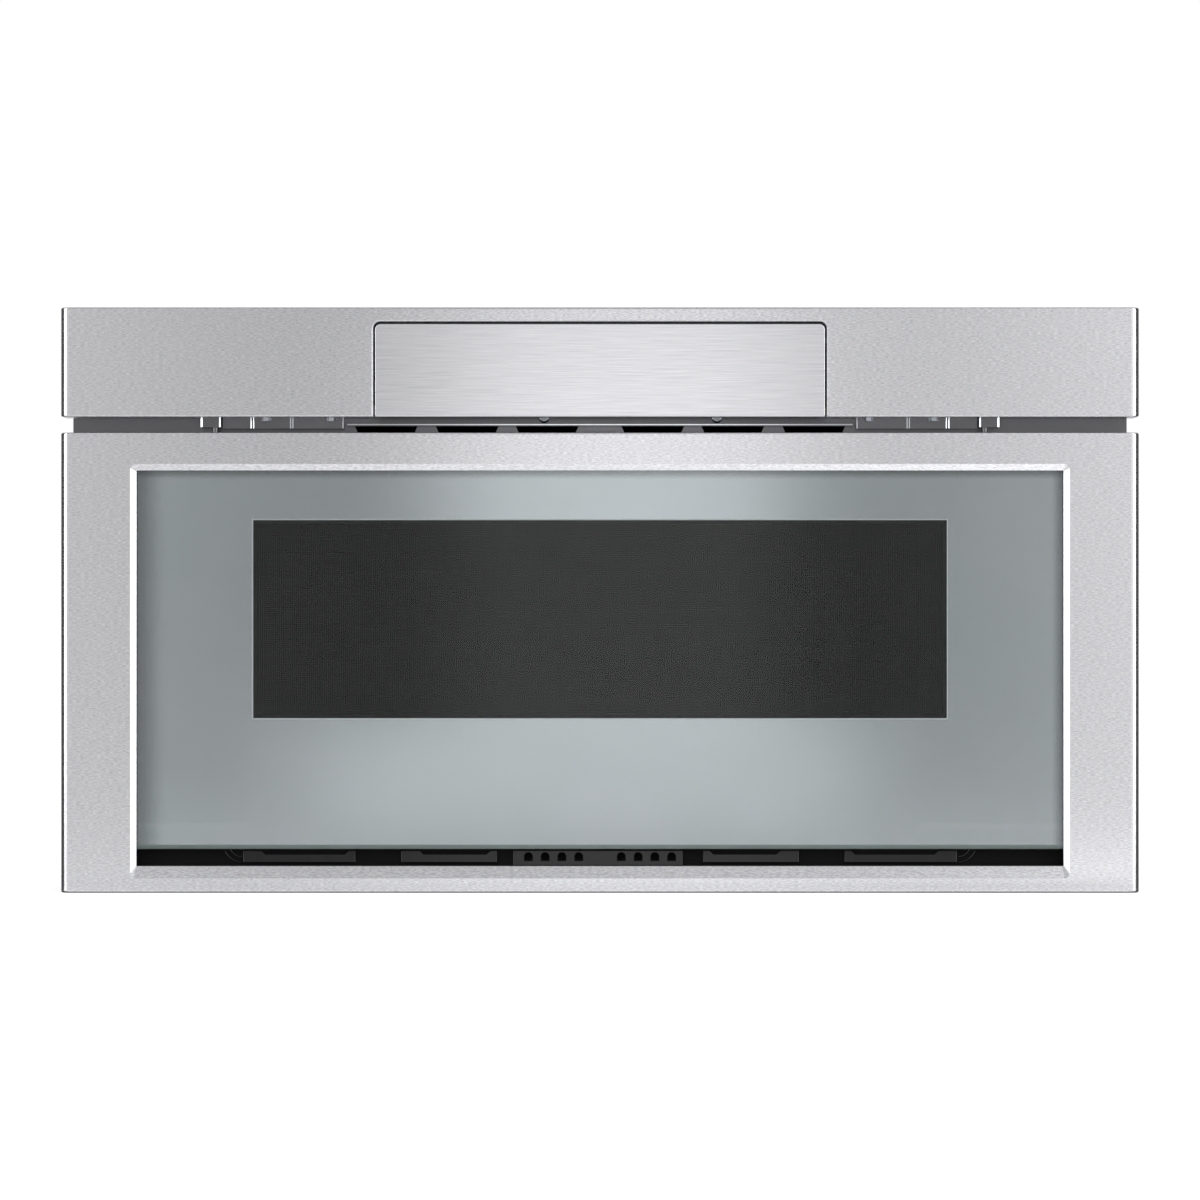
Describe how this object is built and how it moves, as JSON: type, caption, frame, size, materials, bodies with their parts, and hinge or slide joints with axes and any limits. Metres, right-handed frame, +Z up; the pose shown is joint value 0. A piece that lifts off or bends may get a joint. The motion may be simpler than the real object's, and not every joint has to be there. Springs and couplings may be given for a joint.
{
  "type": "microwave drawer",
  "caption": "Built-in microwave drawer: a brushed steel front slides out on telescopic slides with an open-top tub; a tip-out flap above hides the controls.",
  "frame": {"origin": "middle of the base pan's underside, which stands on the cabinet platform; the door hangs 8.6 mm lower in front of it", "axes": "+X to the right seen from the front, +Y to the back, +Z up; the door faces -Y"},
  "size_m": [0.7588, 0.581, 0.4116],
  "materials": {
    "stainless_brushed": "fine horizontal brushing",
    "galvanised_steel": "galvanised, satin",
    "passivated_steel": "dark grey passivated sheet, satin",
    "grey_enamel": "smooth baked enamel",
    "tinted_glass": "grey mirror coating behind clear float glass",
    "clear_glass": "clear",
    "screen_black": "perforated sheet, black paint",
    "black_moulding": "moulded, fine grain",
    "black_gloss": "moulded, polished",
    "choke_grey": "moulded, satin",
    "touch_black": "polished black",
    "zinc_steel": "bright zinc plate",
    "cage_brass": "pressed strip with steel balls",
    "white_nylon": "moulded",
    "gear_steel": "machined",
    "motor_grey": "satin paint",
    "lamination_steel": "varnished laminations",
    "copper_winding": "lacquered copper wire",
    "aluminium_sheet": "mill finish",
    "mica_sheet": "pressed mica",
    "board_green": "solder mask",
    "fan_grey": "moulded",
    "tray_ceramic": "smooth glass-ceramic"
  },
  "bodies": {
    "chassis": {"base_pan": "galvanised_steel", "left_side_panel": "galvanised_steel", "right_side_panel": "galvanised_steel", "top_cover": "galvanised_steel", "back_panel": "galvanised_steel", "front_plate": "passivated_steel", "vent_duct": "black_moulding", "gap_brackets": "passivated_steel", "gap_lip": "passivated_steel", "console_skin": "stainless_brushed", "console_back": "galvanised_steel", "flap_brackets": "galvanised_steel", "flap_bushes": "white_nylon", "flap_motor": "motor_grey", "rail_outers": "zinc_steel", "rail_brackets": "galvanised_steel", "drive_motor": "motor_grey", "rack_guides": "white_nylon", "cavity_shell": "grey_enamel", "waveguide": "aluminium_sheet", "stirrer_cover": "mica_sheet", "stirrer_motor": "motor_grey", "magnetron": "aluminium_sheet", "transformer_core": "lamination_steel", "transformer_windings": "copper_winding", "hv_capacitor": "aluminium_sheet", "power_board": "board_green", "oven_lamp": "black_moulding", "fan_shroud": "black_moulding", "fan_motor": "lamination_steel", "interlock_switches": "black_moulding", "cord_gland": "black_moulding", "chassis_screws": "zinc_steel"},
    "drawer": {"door_frame": "stainless_brushed", "door_glass": "tinted_glass", "door_mask": "black_moulding", "door_screen": "screen_black", "door_inner_glass": "clear_glass", "door_pan": "galvanised_steel", "choke_cover": "choke_grey", "sill_panel": "black_moulding", "sill_pads": "black_gloss", "door_screws": "zinc_steel", "door_hooks": "zinc_steel", "drawer_tub": "grey_enamel", "tub_tray": "tray_ceramic", "drawer_arms": "zinc_steel", "rail_inners": "zinc_steel", "drive_rack": "gear_steel"},
    "slide_middles": {"rail_middles": "zinc_steel"},
    "outer_cages": {"outer_ball_cages": "cage_brass"},
    "inner_cages": {"inner_ball_cages": "cage_brass"},
    "flap": {"flap_skin": "stainless_brushed", "flap_housing": "black_moulding", "flap_touch_glass": "touch_black", "flap_sector": "white_nylon"},
    "flap_drive": {"flap_pinion": "white_nylon"},
    "drawer_drive": {"drive_pinion": "gear_steel"},
    "fan": {"fan_blade": "fan_grey"},
    "stirrer": {"stirrer_blade": "aluminium_sheet"}
  },
  "joints": [
    {"name": "drawer_slide", "type": "slide", "parent": "chassis", "child": "drawer", "axis": [0, -1, 0], "range_m": [0, 0.385]},
    {"name": "middle_slide", "type": "slide", "parent": "chassis", "child": "slide_middles", "axis": [0, -1, 0], "range_m": [0, 0.1925]},
    {"name": "outer_cage_slide", "type": "slide", "parent": "chassis", "child": "outer_cages", "axis": [0, -1, 0], "range_m": [0, 0.09625]},
    {"name": "inner_cage_slide", "type": "slide", "parent": "chassis", "child": "inner_cages", "axis": [0, -1, 0], "range_m": [0, 0.28875]},
    {"name": "pinion_spin", "type": "hinge", "parent": "chassis", "child": "drawer_drive", "pos_m": [0.0175, -0.247, 0.045], "axis": [0, 0, 1], "range_deg": [0, 1838.3]},
    {"name": "flap_tip", "type": "hinge", "parent": "chassis", "child": "flap", "pos_m": [0, -0.298, 0.3325], "axis": [1, 0, 0], "range_deg": [0, 45]},
    {"name": "flap_pinion_spin", "type": "hinge", "parent": "chassis", "child": "flap_drive", "pos_m": [0.169, -0.288, 0.34982], "axis": [1, 0, 0], "range_deg": [-180, 0]},
    {"name": "fan_spin", "type": "hinge", "parent": "chassis", "child": "fan", "pos_m": [0.15, 0.249, 0.19], "axis": [0, 1, 0], "continuous": true},
    {"name": "stirrer_spin", "type": "hinge", "parent": "chassis", "child": "stirrer", "pos_m": [0, 0, 0.284], "axis": [0, 0, 1], "continuous": true}
  ],
  "couplings": [
    {"joint": "middle_slide", "follows": "drawer_slide", "ratio": 0.5},
    {"joint": "outer_cage_slide", "follows": "drawer_slide", "ratio": 0.25},
    {"joint": "inner_cage_slide", "follows": "drawer_slide", "ratio": 0.75},
    {"joint": "pinion_spin", "follows": "drawer_slide", "rad_per_m": 83.333},
    {"joint": "flap_pinion_spin", "follows": "flap_tip", "ratio": -4}
  ]
}
